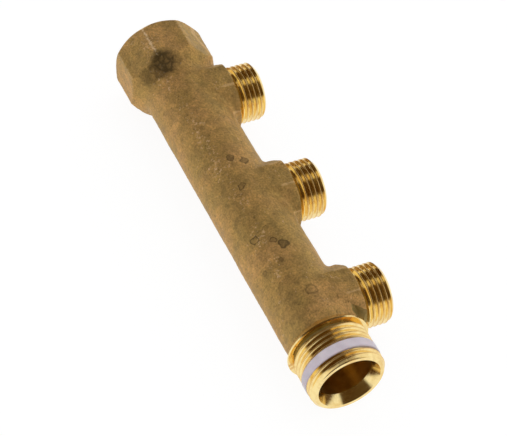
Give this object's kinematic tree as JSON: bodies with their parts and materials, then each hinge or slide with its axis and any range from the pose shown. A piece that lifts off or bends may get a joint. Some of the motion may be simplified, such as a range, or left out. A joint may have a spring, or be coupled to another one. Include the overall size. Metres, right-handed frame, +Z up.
{
  "type": "brass pipe manifold",
  "caption": "Cast brass manifold: octagonal female inlet, straight run, threaded side outlets on octagonal bosses, and a threaded male end with a white sealing ring.",
  "frame": {"origin": "bottom centre of the box around the whole manifold", "axes": "+X along the run towards the male end, +Y along the outlets, +Z up, with the octagon's lower flat on the ground"},
  "size_m": [0.16, 0.0418, 0.0315],
  "materials": {
    "brass": "sand-cast skin, with turned threads and faces",
    "seal_plastic": "smooth matte white"
  },
  "bodies": {
    "root": {"manifold_body": "brass", "seal_ring": "seal_plastic"}
  },
  "joints": []
}
